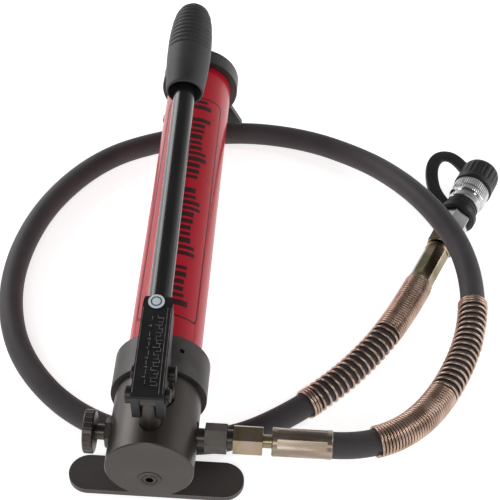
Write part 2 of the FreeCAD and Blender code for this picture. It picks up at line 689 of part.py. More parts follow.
def make_outlet():
    """The outlet adapter, swivel nut, hose insert and first ferrule."""
    at = ("port_place", "axis_height")
    blank = turned("outlet_blank", [
        ("0", "3"), ("0", "6"), ("0.8", "6.75"), ("17.5", "6.75"), ("17.5", "7"), ("24", "7"),
        ("24", "11.9"), ("25", "12.8"), ("39.3", "12.8"), ("40.3", "11.9"), ("40.3", "7.2"),
        ("45.5", "7.2"), ("45.5", "6.3"), ("58", "6.3"), ("58", "3"),
    ], "+X", ("adapter_start",) + at)
    flats = prism("outlet_flats", 6, "outlet_hex", "70", rolled("+X", 7), ("adapter_start - 5",) + at)
    node(common("outlet_adapter", blank, flats), "outlet_adapter")
    nut = turned("nut_blank", [
        ("0", "7.55"), ("0", "11.4"), ("1", "12.5"), ("nut_length - 1", "12.5"),
        ("nut_length", "11.4"), ("nut_length", "neck_radius + 0.3"),
        ("nut_length - 3", "neck_radius + 0.3"), ("nut_length - 3", "7.1"), ("13.2", "7.1"),
        ("13.2", "6.35"), ("1.4", "6.35"), ("1.4", "7.55"),
    ], "+X", ("nut_start",) + at)
    nut_flats = prism("nut_flats", 6, "nut_hex", "nut_length + 4", rolled("+X", -20),
                      ("nut_start - 2",) + at)
    node(common("hose_nut", nut, nut_flats), "hose_nut")
    node(turned("hose_insert_1", [
        ("0", "2.5"), ("0", "6.8"), ("4.2", "6.8"), ("4.8", "neck_radius"),
        ("59.4", "neck_radius"), ("59.4", "2.5"),
    ], "+X", ("nut_start + 13.5",) + at), "hose_insert_1")

    def ferrule_at(distance):
        return ("ferrule_start + " + distance,) + at
    crimped_ferrule("ferrule_1", "+X", rolled("+X", 22.5), ferrule_at)


# ------------------------------------------------------------------- coupler
HEADING = math.radians(value_of("coupler_heading"))
COUPLER_TURN = App.Rotation(V(0, 0, 1), value_of("coupler_heading"))
COUPLER_RISE = COUPLER_TURN.multiply(TURN_Z_TO["+X"])


def coupler_point(distance):
    """A place on the coupler's axis, from its distance past the hose end."""
    words = distance.split()
    across = " ".join(w if w in "+-" else "%.9f*%s" % (math.cos(HEADING), w) for w in words)
    rearward = " ".join(w if w in "+-" else "%.9f*%s" % (math.sin(HEADING), w) for w in words)
    return ("coupler_x + " + across, "coupler_y + " + rearward, "coupler_height")


def make_far_fittings():
    """The ferrule, insert and adapter at the hose's far end."""
    turn = COUPLER_TURN
    crimped_ferrule("ferrule_2", turn, COUPLER_RISE, coupler_point)
    node(turned("hose_insert_2", [
        ("0", "2.5"), ("0", "neck_radius"), ("58", "neck_radius"), ("58", "2.5"),
    ], turn, coupler_point("0")), "hose_insert_2")
    blank = turned("coupler_adapter_blank", [
        ("0", "neck_radius + 0.02"), ("0", "11.2"), ("1", "12.7"), ("15", "12.7"), ("16", "11.2"),
        ("16", "7.4"), ("29", "7.4"), ("29", "neck_radius"), ("13", "neck_radius + 0.02"),
    ], turn, coupler_point("46.5"))
    flats = prism("coupler_adapter_flats", 6, "22", "40", COUPLER_RISE, coupler_point("44"))
    node(common("coupler_adapter", blank, flats), "coupler_adapter")


def make_coupler_half():
    """The quick coupler half: body, locking sleeve, poppet and spring."""
    turn = COUPLER_TURN
    blank = turned("coupler_body_blank", [
        ("0", "7.45"), ("0", "11.4"), ("1", "12.4"), ("3", "12.4"), ("4.4", "14"),
        ("24", "14"), ("25.1", "12.6"), ("25.1", "11"), ("42.5", "11"),
        ("42.5", "nose_radius"), ("82", "nose_radius"), ("83", "8"), ("83", "4.05"),
        ("62", "4.05"), ("62", "6.3"), ("36", "6.3"), ("36", "coupler_bore"),
        ("13.2", "coupler_bore"), ("13.2", "7.45"),
    ], turn, coupler_point("62.7"))
    flats = prism("coupler_body_hex", 6, "coupler_hex", "110", COUPLER_RISE, coupler_point("60"))
    node(common("coupler_body", blank, flats), "coupler_body")
    node(turned("coupler_sleeve", [
        ("0", "nose_radius + 0.35"), ("0", "13.4"), ("0.8", "14.6"), ("6.2", "14.6"), ("7", "13.6"),
        ("7.6", "13.6"), ("8.4", "sleeve_radius - 0.4"), ("8.8", "sleeve_radius"),
        ("12.6", "sleeve_radius"), ("13", "lip_radius"), ("14.6", "lip_radius"),
        ("15", "sleeve_radius"), ("23", "sleeve_radius"), ("23.4", "lip_radius"),
        ("41", "lip_radius"), ("42", "lip_radius - 1"), ("42", "12.2"), ("16", "12.2"),
        ("16", "nose_radius + 0.35"),
    ], turn, coupler_point("105.4")), "coupler_sleeve")
    node(turned("coupler_poppet", [
        ("0", "0"), ("0", "5.6"), ("3", "5.6"), ("3", "3.95"), ("21", "3.95"), ("22.5", "2.6"),
        ("22.5", "0"),
    ], turn, coupler_point("121.5")), "coupler_poppet")
    node(turned("poppet_spring", [
        ("0", "4.4"), ("0", "6"), ("22.3", "6"), ("22.3", "4.4"),
    ], turn, coupler_point("98.9")), "poppet_spring")


def make_dust_cap():
    """The dust cap and the ring that keeps its strap on the coupler."""
    turn = COUPLER_TURN
    node(turned("strap_ring", [
        ("0", "11.05"), ("0", "ring_radius"), ("1.2", "ring_radius + 2.2"),
        ("6.2", "ring_radius + 2.4"), ("7.4", "ring_radius"), ("9.4", "ring_radius"),
        ("9.8", "ring_radius - 0.5"), ("10.6", "ring_radius - 0.5"), ("11", "ring_radius"),
        ("13", "ring_radius"), ("13.4", "ring_radius - 0.5"), ("14.2", "ring_radius - 0.5"),
        ("14.6", "ring_radius"), ("16", "ring_radius"), ("16.8", "ring_radius - 0.8"),
        ("16.8", "11.05"),
    ], turn, coupler_point("88")), "strap_ring")
    node(turned("dust_cap", [
        ("0", "lip_radius + 0.1"), ("0", "dust_cap_radius - 0.8"), ("0.8", "dust_cap_radius"),
        ("21.5", "dust_cap_radius"), ("25", "dust_cap_radius - 1.4"),
        ("27.5", "dust_cap_radius - 4.5"), ("28.2", "dust_cap_radius - 7"), ("28.2", "0"),
        ("18.2", "0"), ("18.2", "lip_radius + 0.1"),
    ], turn, coupler_point("129.6")), "dust_cap")


# ---------------------------------------------------------------- hose route
HOSE_ROUTE = [
    (131.9, -1.0, 58.5), (154, -1, 58), (191.2, 6.9, 56), (226.6, 29.5, 52), (251.6, 65.7, 47),
    (262, 120, 42.5), (253.5, 177, 42), (237.5, 228, 43.5), (213, 272, 43.5), (185, 319, 28),
    (151.5, 360.5, 13.8), (97, 388, 10.2), (32, 393.5, 10.25), (-36, 375, 10.2), (-88, 345, 10.25),
    (-127, 287, 10.2), (-142.5, 221, 10.25), (-141, 158, 10.2), (-120, 99, 10.25),
    (-72, 49, 10.2), (-10, 27.5, 10.25), (52, 31, 10.2), (104, 62, 12.7),
    (150, 108, 13.4), (185.25, 160.26, 17.6), (203.0, 202.7, 17.6),
]


def bends(route):
    """Return each corner's arc as (start, middle, end, radius)."""
    points = [V(*p) for p in route]
    arcs = []
    for before, corner, after in zip(points, points[1:], points[2:]):
        back = (before - corner).normalize()
        ahead = (after - corner).normalize()
        reach = 0.45 * min((before - corner).Length, (after - corner).Length)
        half_turn = (math.pi - back.getAngle(ahead)) / 2
        radius = reach / math.tan(half_turn)
        middle_line = (back + ahead).normalize()
        depth = radius / math.cos(half_turn) - radius
        arcs.append((corner + back * reach, corner + middle_line * depth,
                     corner + ahead * reach, radius))
    return arcs


def route_wire(route, first_run=None, last_run=None):
    """Return the line of the route, whole or from one run's middle to another's."""
    arcs = bends(route)
    points = [V(*p) for p in route]
    first = 0 if first_run is None else first_run
    last = len(arcs) if last_run is None else last_run
    here = points[0] if first_run is None else (points[first] + points[first + 1]) * 0.5
    end = points[-1] if last_run is None else (points[last] + points[last + 1]) * 0.5
    edges = []
    for start, middle, finish, _radius in arcs[first:last]:
        edges.append(Part.LineSegment(here, start).toShape())
        edges.append(Part.Arc(start, middle, finish).toShape())
        here = finish
    edges.append(Part.LineSegment(here, end).toShape())
    return Part.Wire(edges)


def swept(wire, radius):
    """Sweep a round section along a line."""
    start = wire.Edges[0].Vertexes[0].Point
    heading = wire.Edges[0].tangentAt(wire.Edges[0].FirstParameter)
    section = Part.Wire(Part.makeCircle(radius, start, heading))
    return wire.makePipeShell([section], True, False)


def hose_part(name, wire, outer, inner):
    """A tube along part of the hose's line."""
    item = doc.addObject("Part::Feature", name)
    shape = swept(wire, outer).cut(swept(wire, inner))
    ideal = math.pi * (outer ** 2 - inner ** 2) * wire.Length
    print(name, "length %.1f" % wire.Length, "volume ratio %.4f" % (shape.Volume / ideal))
    item.Shape = shape
    return node(item, name)


def make_hose():
    """The rubber hose and the spring guard at each end."""
    radii = [arc[3] for arc in bends(HOSE_ROUTE)]
    print("hose radii", " ".join("%.0f" % radius for radius in radii))
    hose_part("hose", route_wire(HOSE_ROUTE), value_of("hose_radius"), value_of("hose_bore"))
    guard = value_of("guard_radius")
    bore = value_of("guard_bore")
    hose_part("spring_guard_1", route_wire(HOSE_ROUTE, 1, 5), guard, bore)
    hose_part("spring_guard_2", route_wire(HOSE_ROUTE, 22, None), guard, bore)


STRAP_ROUTE = [(230, 299.5, 17.6), (223.5, 315, 17.6), (218.5, 335, 17.6), (218, 354, 17.6),
               (226, 366.5, 17.6), (240, 363.5, 17.6), (249, 346, 17.6)]


def swept_oval(wire):
    """Sweep the strap's flat oval section along a line."""
    start = wire.Edges[0].Vertexes[0].Point
    heading = wire.Edges[0].tangentAt(wire.Edges[0].FirstParameter)
    across = heading.cross(V(0, 0, 1)).normalize() * value_of("strap_half_width")
    up = V(0, 0, value_of("strap_half_height"))
    oval = Part.Wire(Part.Ellipse(start + across, start + up, start).toShape())
    return wire.makePipeShell([oval], True, False)


def make_strap():
    """The oval rubber strap, trimmed where it meets the cap and its ring."""
    shape = swept_oval(route_wire(STRAP_ROUTE))
    cap = [item for item in NODES if item.Label == "dust_cap"][0]
    shape = shape.cut(cap.Shape)
    axis = V(math.cos(HEADING), math.sin(HEADING), 0)
    for first, length, radius in ((60, 35.3, "dust_cap_radius"), (95, 10.2, "ring_radius"),
                                  (105, 24.4, "dust_cap_radius")):
        foot = V(*[value_of(size) for size in coupler_point(str(first))])
        shape = shape.cut(Part.makeCylinder(value_of(radius), length, foot, axis))
    item = doc.addObject("Part::Feature", "cap_strap")
    item.Shape = max(shape.Solids, key=lambda solid: solid.Volume)
    node(item, "cap_strap")


def check_and_write():
    """Check every object and write one STEP file for each node."""
    doc.recompute()
    for item in doc.Objects:
        if "Invalid" in item.State or "Error" in item.State:
            raise RuntimeError("not built: " + item.Label + " " + str(item.State))
    for item in NODES:
        shape = item.Shape
        if shape.isNull() or not shape.isValid() or not shape.Solids:
            raise RuntimeError("bad shape: " + item.Label)
        shape.exportStep("parts/%s.step" % item.Label)
        box = shape.BoundBox
        print("%-18s solids %d volume %9.0f  x %7.1f %7.1f  y %7.1f %7.1f  z %6.1f %6.1f" % (
            item.Label, len(shape.Solids), shape.Volume, box.XMin, box.XMax, box.YMin, box.YMax,
            box.ZMin, box.ZMax))
    print(len(NODES), "nodes")


make_pump_body()
make_relief_plug()
make_tank()
make_end_cap()
make_tank_inside()
make_front_foot()
make_foot_screws()
make_rear_stand()
make_fulcrum()
make_plunger_gland()
make_plunger()
make_fork()
make_pins()
make_handle()
make_release_valve()
make_outlet()
make_far_fittings()
make_coupler_half()
make_dust_cap()
doc.recompute()
make_hose()
make_strap()
check_and_write()
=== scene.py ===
"""Looks of the hydraulic hand pump, in metres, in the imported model's frame."""
import bpy
import math
from mathutils import Matrix, Vector


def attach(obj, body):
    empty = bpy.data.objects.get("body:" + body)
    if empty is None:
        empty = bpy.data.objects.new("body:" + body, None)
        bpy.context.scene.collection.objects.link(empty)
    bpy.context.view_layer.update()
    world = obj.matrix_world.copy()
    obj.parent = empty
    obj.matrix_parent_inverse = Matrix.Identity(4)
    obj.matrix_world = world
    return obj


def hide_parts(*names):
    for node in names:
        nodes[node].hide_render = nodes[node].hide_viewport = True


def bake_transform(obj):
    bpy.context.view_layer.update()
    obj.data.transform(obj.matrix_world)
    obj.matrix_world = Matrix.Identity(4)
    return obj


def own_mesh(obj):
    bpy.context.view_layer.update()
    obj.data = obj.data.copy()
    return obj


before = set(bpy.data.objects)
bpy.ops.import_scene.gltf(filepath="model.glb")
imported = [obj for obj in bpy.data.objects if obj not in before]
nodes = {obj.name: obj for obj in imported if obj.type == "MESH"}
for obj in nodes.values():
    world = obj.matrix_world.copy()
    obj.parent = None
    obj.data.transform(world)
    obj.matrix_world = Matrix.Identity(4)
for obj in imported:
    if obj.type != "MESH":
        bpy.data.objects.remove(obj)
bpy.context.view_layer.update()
scene = bpy.context.scene
AXIS_Z = 0.0585
COUPLER_START = Vector((0.203, 0.2027, 0.0176))
COUPLER_AXIS = Vector((math.cos(math.radians(67.3)), math.sin(math.radians(67.3)), 0))
FULCRUM = Vector((0, -0.013, 0.121))
LEVER_SLOPE = math.radians(8.5)
LEVER_AHEAD = Vector((0, math.cos(LEVER_SLOPE), math.sin(LEVER_SLOPE)))
LEVER_UP = Vector((0, -math.sin(LEVER_SLOPE), math.cos(LEVER_SLOPE)))
UP = Vector((0, 0, 1))


def on_lever(across, along, rise):
    """A place on the lever from its offsets at the fulcrum pin."""
    return FULCRUM + Vector((across, 0, 0)) + LEVER_AHEAD * along + LEVER_UP * rise


# ------------------------------------------------------------------- camera
CAMERA_PLACE = (0.0997, -0.6376, 0.9259)
CAMERA_YAW = -2.802
CAMERA_DIP = 46.215
CAMERA_ROLL = 1.068
CAMERA_LENS = 104.41


def add_camera():
    """A camera in front of the pump that looks down on it."""
    yaw, pitch, roll = (math.radians(a) for a in (CAMERA_YAW, CAMERA_DIP, CAMERA_ROLL))
    ahead = Vector((math.sin(yaw) * math.cos(pitch), math.cos(yaw) * math.cos(pitch),
                    -math.sin(pitch)))
    side = Vector((math.cos(yaw), -math.sin(yaw), 0))
    top = side.cross(ahead)
    right = side * math.cos(roll) + top * math.sin(roll)
    up = -side * math.sin(roll) + top * math.cos(roll)
    data = bpy.data.cameras.new("camera")
    data.sensor_width = 36
    data.lens = CAMERA_LENS
    data.clip_start = 0.05
    data.clip_end = 20
    data.dof.use_dof = False
    camera = bpy.data.objects.new("camera", data)
    rows = [(right[i], up[i], -ahead[i], CAMERA_PLACE[i]) for i in range(3)]
    camera.matrix_world = Matrix(rows + [(0, 0, 0, 1)])
    scene.collection.objects.link(camera)
    scene.camera = camera


add_camera()


# ---------------------------------------------------------------- materials
def new_material(name):
    """An empty node material with its shader."""
    made = bpy.data.materials.new(name)
    made.use_nodes = True
    return made, made.node_tree.nodes, made.node_tree.links, made.node_tree.nodes["Principled BSDF"]


def surface(name, low, high, rough=(0.3, 0.4), metal=0.0, coat=0.0, coat_rough=0.08,
            patch=30.0, grain=900.0, bump=0.05, depth=0.0002, stretch=(1, 1, 1), spec=0.5,
            middle=None):
    """A procedural finish: colours in soft patches, uneven roughness and fine relief."""
    made, tree, links, shader = new_material(name)
    place = tree.new("ShaderNodeTexCoord")
    scale = tree.new("ShaderNodeMapping")
    scale.inputs["Scale"].default_value = stretch
    links.new(place.outputs["Object"], scale.inputs["Vector"])
    broad = tree.new("ShaderNodeTexNoise")
    broad.inputs["Scale"].default_value = patch
    broad.inputs["Detail"].default_value = 5
    links.new(scale.outputs["Vector"], broad.inputs["Vector"])
    ramp = tree.new("ShaderNodeValToRGB")
    ramp.color_ramp.elements[0].position = 0.35
    ramp.color_ramp.elements[1].position = 0.65
    ramp.color_ramp.elements[0].color = (*low, 1)
    ramp.color_ramp.elements[1].color = (*high, 1)
    if middle:
        ramp.color_ramp.elements.new(0.5).color = (*middle, 1)
    links.new(broad.outputs["Fac"], ramp.inputs["Fac"])
    links.new(ramp.outputs["Color"], shader.inputs["Base Color"])
    fine = tree.new("ShaderNodeTexNoise")
    fine.inputs["Scale"].default_value = grain
    fine.inputs["Detail"].default_value = 4
    links.new(scale.outputs["Vector"], fine.inputs["Vector"])
    level = tree.new("ShaderNodeMapRange")
    level.inputs["To Min"].default_value = rough[0]
    level.inputs["To Max"].default_value = rough[1]
    links.new(broad.outputs["Fac"], level.inputs["Value"])
    links.new(level.outputs["Result"], shader.inputs["Roughness"])
    relief = tree.new("ShaderNodeBump")
    relief.inputs["Strength"].default_value = bump
    relief.inputs["Distance"].default_value = depth
    links.new(fine.outputs["Fac"], relief.inputs["Height"])
    links.new(relief.outputs["Normal"], shader.inputs["Normal"])
    shader.inputs["Metallic"].default_value = metal
    shader.inputs["Coat Weight"].default_value = coat
    shader.inputs["Coat Roughness"].default_value = coat_rough
    shader.inputs["Specular IOR Level"].default_value = spec
    return made


# Each finish: name, darker and lighter colour, roughness range, metallic, then what differs.
MATERIALS = {
    "head": surface("head_finish", (0.050, 0.042, 0.038), (0.070, 0.060, 0.054), (0.28, 0.38), 0.60,
                    patch=18, grain=1600, bump=0.12),
    "cap": surface("cap_finish", (0.036, 0.032, 0.030), (0.060, 0.054, 0.050), (0.36, 0.50), 0.4,
                   patch=70, grain=1400, bump=0.15),
    "foot": surface("foot_finish", (0.052, 0.043, 0.040), (0.076, 0.064, 0.060), (0.42, 0.54), 0.1,
                    patch=25, grain=1300, bump=0.15),
    "red": surface("red_enamel", (0.45, 0.003, 0.013), (0.52, 0.005, 0.021), (0.24, 0.32), 0.0,
                   coat=0.15, coat_rough=0.08, patch=9, grain=420, bump=0.04, spec=0.3),
    "gloss": surface("gloss_black", (0.008, 0.008, 0.009), (0.014, 0.014, 0.015), (0.16, 0.26), 0.0,
                     coat=0.3, coat_rough=0.05, patch=14, grain=500, bump=0.06, spec=0.4),
    "cast": surface("cast_black", (0.010, 0.009, 0.010), (0.020, 0.019, 0.020), (0.36, 0.52), 0.0,
                    coat=0.08, coat_rough=0.2, patch=60, grain=420, bump=0.35, depth=0.0003,
                    spec=0.22),
    # Light grey metal for the fork's raised lines and cast marks: a painted highlight on their
    # edges, not wear.
    "edge_glint": surface("painted_glint_edges", (0.16, 0.145, 0.15), (0.32, 0.30, 0.30), (0.26, 0.38), 0.5,
                    patch=220, grain=900, bump=0.2),
    "grip": surface("grip_rubber", (0.028, 0.028, 0.030), (0.040, 0.040, 0.043), (0.50, 0.62), 0.0,
                    patch=35, grain=1900, bump=0.25, spec=0.4),
    "hose": surface("hose_rubber", (0.042, 0.037, 0.040), (0.060, 0.053, 0.057), (0.52, 0.64), 0.0,
                    patch=22, grain=1500, bump=0.25, spec=0.35),
    "rubber": surface("black_rubber", (0.008, 0.007, 0.007), (0.015, 0.013, 0.013), (0.34, 0.48),
                      0.0, patch=40, grain=1700, bump=0.2, spec=0.35),
    "oxide": surface("black_oxide", (0.045, 0.040, 0.036), (0.075, 0.066, 0.058), (0.26, 0.38), 0.8,
                     patch=55, grain=1500, bump=0.1),
    "pin": surface("pin_oxide", (0.022, 0.019, 0.017), (0.040, 0.035, 0.031), (0.30, 0.44), 0.6,
                   patch=90, grain=1500, bump=0.1),
    "steel": surface("plain_steel", (0.42, 0.41, 0.40), (0.56, 0.55, 0.54), (0.22, 0.34), 1.0,
                     patch=60, grain=1500, bump=0.06),
    "chrome": surface("chrome_plate", (0.50, 0.50, 0.52), (0.68, 0.68, 0.69), (0.08, 0.16), 1.0,
                      patch=70, grain=1200, bump=0.04),
    "zinc": surface("yellow_zinc", (0.17, 0.16, 0.10), (0.36, 0.28, 0.23), (0.22, 0.32), 1.0,
                    patch=52, grain=1400, bump=0.06, middle=(0.31, 0.25, 0.15)),
    "crimped": surface("crimped_zinc", (0.20, 0.19, 0.16), (0.44, 0.40, 0.37), (0.22, 0.34), 1.0,
                       patch=160, grain=1400, bump=0.06, middle=(0.30, 0.22, 0.16),
                       stretch=(0.12, 1, 1)),
    "guard": surface("guard_zinc", (0.36, 0.24, 0.18), (0.60, 0.45, 0.37), (0.22, 0.34), 1.0,
                     patch=60, grain=1400, bump=0.05),
    "white": surface("sticker_white", (0.72, 0.76, 0.80), (0.80, 0.83, 0.86), (0.3, 0.4), 0.0,
                     patch=200, grain=1500, bump=0.03),
    "ink": surface("black_ink", (0.030, 0.004, 0.006), (0.045, 0.007, 0.009), (0.32, 0.42), 0.0,
                   coat=0.1, patch=120, grain=1500, bump=0.03, spec=0.3),
    "sticker_blue": surface("sticker_blue", (0.05, 0.10, 0.16), (0.09, 0.16, 0.24), (0.3, 0.4),
                            patch=300, grain=1500, bump=0.03),
    "brass": surface("woven_brass", (0.55, 0.38, 0.16), (0.66, 0.48, 0.22), (0.3, 0.4), 1.0,
                     patch=80, grain=1500, bump=0.2),
}

NODE_FINISH = {
    "pump_body": "head", "relief_plug": "oxide", "relief_washer": "oxide", "tank_tube": "red",
    "tank_collar": "cap", "collar_set_screw": "oxide", "end_cap": "cap", "filler_plug": "oxide",
    "tank_seal_front": "rubber", "tank_seal_rear": "rubber", "oil_bladder": "rubber",
    "bladder_clamp": "steel", "suction_strainer": "brass", "front_foot": "foot",
    "foot_riser": "foot", "foot_screws": "oxide", "rear_stand": "cap", "stand_screws": "oxide",
    "fulcrum_post": "oxide", "plunger_gland": "oxide", "rod_wiper": "rubber", "plunger": "steel",
    "plunger_seal": "rubber", "lever_fork": "cast", "fulcrum_pin": "pin", "plunger_pin": "pin",
    "pin_clips": "pin", "handle_tube": "gloss", "handle_grip": "grip", "release_gland": "oxide",
    "stop_pin": "steel", "release_spindle": "oxide", "release_knob": "head",
    "release_ball": "steel", "outlet_adapter": "oxide", "hose_nut": "zinc",
    "hose_insert_1": "zinc", "ferrule_1": "crimped", "ferrule_2": "zinc", "hose_insert_2": "zinc",
    "coupler_adapter": "zinc", "coupler_body": "chrome", "coupler_sleeve": "chrome",
    "coupler_poppet": "steel", "poppet_spring": "steel", "dust_cap": "rubber",
    "strap_ring": "rubber", "hose": "hose", "spring_guard_1": "guard", "spring_guard_2": "guard",
    "cap_strap": "rubber",
}


def dress(item, finish):
    """Give an object one finish."""
    item.data.materials.clear()
    item.data.materials.append(MATERIALS[finish])


for node_name, finish_name in NODE_FINISH.items():
    dress(nodes[node_name], finish_name)


# ------------------------------------------------------------- mesh helpers
def add_mesh(name, verts, faces, finish, smooth=40):
    """A mesh object whose corners sharper than an angle stay sharp."""
    data = bpy.data.meshes.new(name)
    data.from_pydata([tuple(v) for v in verts], [], faces)
    data.validate()
    item = bpy.data.objects.new(name, data)
    scene.collection.objects.link(item)
    for face in data.polygons:
        face.use_smooth = True
    data.set_sharp_from_angle(angle=math.radians(smooth))
    item.data.materials.append(MATERIALS[finish])
    return item


def frame_along(points):
    """Side and up directions carried without twist along a line of points."""
    frames = []
    side = None
    for i, point in enumerate(points):
        ahead = (points[min(i + 1, len(points) - 1)] - points[max(i - 1, 0)]).normalized()
        if side is None:
            side = ahead.cross(UP).normalized()
        side = (side - ahead * side.dot(ahead)).normalized()
        frames.append((side, ahead.cross(side)))
    return frames


def turns(sides):
    """The angles of the corners of one ring of vertices."""
    return [2 * math.pi * k / sides for k in range(sides)]


def walls(rows, sides):
    """Faces between rings of vertices that follow each other."""
    faces = []
    for row in range(rows - 1):
        for k in range(sides):
            a = row * sides + k
            b = row * sides + (k + 1) % sides
            faces.append((a, b, b + sides, a + sides))
    return faces


def tube_along(points, radius, sides):
    """Vertices and faces of a closed-ended tube along points."""
    verts = []
    for (side, up), point in zip(frame_along(points), points):
        for turn in turns(sides):
            verts.append(point + (side * math.cos(turn) + up * math.sin(turn)) * radius)
    faces = walls(len(points), sides)
    faces.append(tuple(range(sides))[::-1])
    faces.append(tuple(range(len(verts) - sides, len(verts))))
    return verts, faces


def revolved(outline, start, ahead, up, sides, shape=None):
    """Vertices and faces of (distance, radius) corners turned round a line.

    shape(distance, radius, turn) may change the radius at each place.
    """
    side = ahead.cross(up)
    verts = []
    for distance, radius in outline:
        for turn in turns(sides):
            size = shape(distance, radius, turn) if shape else radius
            out = side * math.sin(turn) + up * math.cos(turn)
            verts.append(start + ahead * distance + out * size)
    faces = [(a, d, c, b) for a, b, c, d in walls(len(outline), sides)]
    faces.append(tuple(range(sides)))
    faces.append(tuple(range(len(verts) - sides, len(verts)))[::-1])
    return verts, faces


def fine_outline(outline, step):
    """The same outline with long runs divided."""
    result = [outline[0]]
    for (d0, r0), (d1, r1) in zip(outline, outline[1:]):
        count = max(1, int(math.hypot(d1 - d0, r1 - r0) / step))
        for i in range(1, count + 1):
            result.append((d0 + (d1 - d0) * i / count, r0 + (r1 - r0) * i / count))
    return result


def raised_bar(centre, ahead, side, out, half_ahead, half_side, height, slant):
    """Vertices and faces of a low bar with sloped sides standing on a surface."""
    verts = []
    sunk = -0.0003
    for level, shrink in ((sunk, 0), (height, slant)):
        for a, b in ((-1, -1), (1, -1), (1, 1), (-1, 1)):
            verts.append(centre + ahead * a * (half_ahead - shrink)
                         + side * b * (half_side - shrink) + out * level)
    faces = [(0, 3, 2, 1), (4, 5, 6, 7), (0, 1, 5, 4), (1, 2, 6, 5), (2, 3, 7, 6), (3, 0, 4, 7)]
    return verts, faces


def gathered(parts):
    """One list of vertices and faces from several."""
    verts = []
    faces = []
    for some_verts, some_faces in parts:
        base = len(verts)
        verts.extend(some_verts)
        faces.extend(tuple(base + i for i in face) for face in some_faces)
    return verts, faces


def soften(node_name, width, segments=2):
    """Round the sharp edges of a node."""
    change = nodes[node_name].modifiers.new("soft_edges", "BEVEL")
    change.width = width
    change.segments = segments
    change.limit_method = "ANGLE"
    change.angle_limit = math.radians(35)
    change.harden_normals = True


for edge_node, edge_width in (
        ("front_foot", 0.0008), ("rear_stand", 0.0006), ("lever_fork", 0.0007),
        ("outlet_adapter", 0.0003), ("hose_nut", 0.0003), ("coupler_adapter", 0.0003),
        ("coupler_body", 0.0004), ("plunger_gland", 0.0003), ("pump_body", 0.0003)):
    soften(edge_node, edge_width)


# --------------------------------------------------------------------- grip
GRIP_OUTLINE = [
    (0.0180, 0.0090), (0.0100, 0.0116), (0.0004, 0.0134), (0.0000, 0.0140), (0.0006, 0.0148),
    (0.0020, 0.0153), (0.0120, 0.0163), (0.0240, 0.0173), (0.0360, 0.0179), (0.0500, 0.0180),
    (0.0620, 0.0176), (0.0740, 0.0165), (0.0830, 0.0148), (0.0890, 0.0124), (0.0925, 0.0092),
    (0.0938, 0.0050), (0.0940, 0.0003),
]
GRIP_START = 0.281
GRIP_SIDES = 72
GROOVE_START = 0.041
GROOVE_PITCH = 0.0046
GROOVE_DEPTH = 0.0009


def grip_relief(distance, radius, turn):
    """Fine grooves across the top of the grip's outer half, which fade out to the sides."""
    if radius < 0.0110 or not 0.040 < distance < 0.090:
        return radius
    upper = min(1.0, max(0.0, (math.cos(turn) - 0.35) / 0.25))
    wave = max(0.0, math.sin(2 * math.pi * (distance - GROOVE_START) / GROOVE_PITCH))
    return radius - GROOVE_DEPTH * upper * wave ** 0.5


def add_grip():
    """The moulded rubber grip."""
    verts, faces = revolved(fine_outline(GRIP_OUTLINE, 0.0006), on_lever(0, GRIP_START, 0.001),
                            LEVER_AHEAD, LEVER_UP, GRIP_SIDES, grip_relief)
    item = add_mesh("grip_ribbed", verts, faces, "grip", 60)
    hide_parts("handle_grip")
    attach(item, "lever")


add_grip()


# -------------------------------------------------------------- fork relief
WEB_START = -0.0065
WEB_LENGTH = 0.0825
WEB_RISE = 0.0122
WEB_DROP = 0.0016
WEB_TILT = math.atan2(-WEB_DROP, WEB_LENGTH)
WEB_SIDE = Vector((1, 0, 0))
WEB_AHEAD = (LEVER_AHEAD * math.cos(WEB_TILT) + LEVER_UP * math.sin(WEB_TILT)).normalized()
WEB_OUT = WEB_SIDE.cross(WEB_AHEAD)
STROKE = 0.00035
MARK_HEIGHT = 0.0004
MARK_SLANT = 0.0002
HOOK_REACH = 0.0013


def on_web(across, along):
    """A place on the fork's flat top, which falls a little towards the tube."""
    return on_lever(across, along, WEB_RISE - (along - WEB_START) * WEB_DROP / WEB_LENGTH)


def web_mark(across, along, half_along, half_across):
    """A small raised stroke on the fork's top."""
    return raised_bar(on_web(across, along), WEB_AHEAD, WEB_SIDE, WEB_OUT, half_along,
                      half_across, MARK_HEIGHT, MARK_SLANT)


def edge_lines():
    """Three thin raised lines that follow the fork's edges."""
    parts = []
    for front, rear in ((-0.0107, -0.0101), (0.0080, 0.0076), (0.0107, 0.0101)):
        start = on_web(front, -0.005)
        finish = on_web(rear, 0.066)
        line = (finish - start).normalized()
        parts.append(raised_bar((start + finish) / 2, line, WEB_OUT.cross(line) * -1, WEB_OUT,
                                0.036, 0.0004, 0.00035, MARK_SLANT))
    return parts


def hooked_strokes():
    """A row of strokes across the fork, each with a hook to one side."""
    parts = []
    place = 0.0010
    for i in range(19):
        reach = (0.0042, 0.0034, 0.0046, 0.0030)[i % 4]
        middle = 0.0052 - reach / 2 + (0.0008, -0.0004, 0.0003)[i % 3]
        parts.append(web_mark(middle, place, STROKE, reach / 2 + 0.0004))
        hook = middle + (reach / 2 if (5 * i) % 7 < 4 else -reach / 2)
        parts.append(web_mark(hook, place + HOOK_REACH, HOOK_REACH, STROKE))
        place += (0.0031, 0.0029, 0.0034, 0.0030, 0.0033)[i % 5]
    return parts


def dashes():
    """A row of dashes along the fork, every other one with a short branch."""
    parts = []
    place = 0.002
    for i in range(13):
        half = (0.0017, 0.0012, 0.0021, 0.0009)[i % 4]
        across = -0.0030 + (0.0004, -0.0003, 0.0001)[i % 3]
        parts.append(web_mark(across, place + half, half, 0.00045))
        if i % 2:
            parts.append(web_mark(across - 0.0009, place + half, STROKE, 0.0010))
        place += 2 * half + (0.0010 if i < 10 else 0.0040)
    return parts


def add_fork_relief():
    """The raised edge lines and meaningless cast marks on the fork, coloured light grey as a
    painted highlight.
    """
    verts, faces = gathered(edge_lines() + hooked_strokes() + dashes())
    # The light grey finish on these lines and marks is a painted highlight.
    item = add_mesh("fork_marks", verts, faces, "edge_glint", 30)
    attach(item, "lever")


add_fork_relief()


# ------------------------------------------------------------------- sticker
RING_SIDES = 48


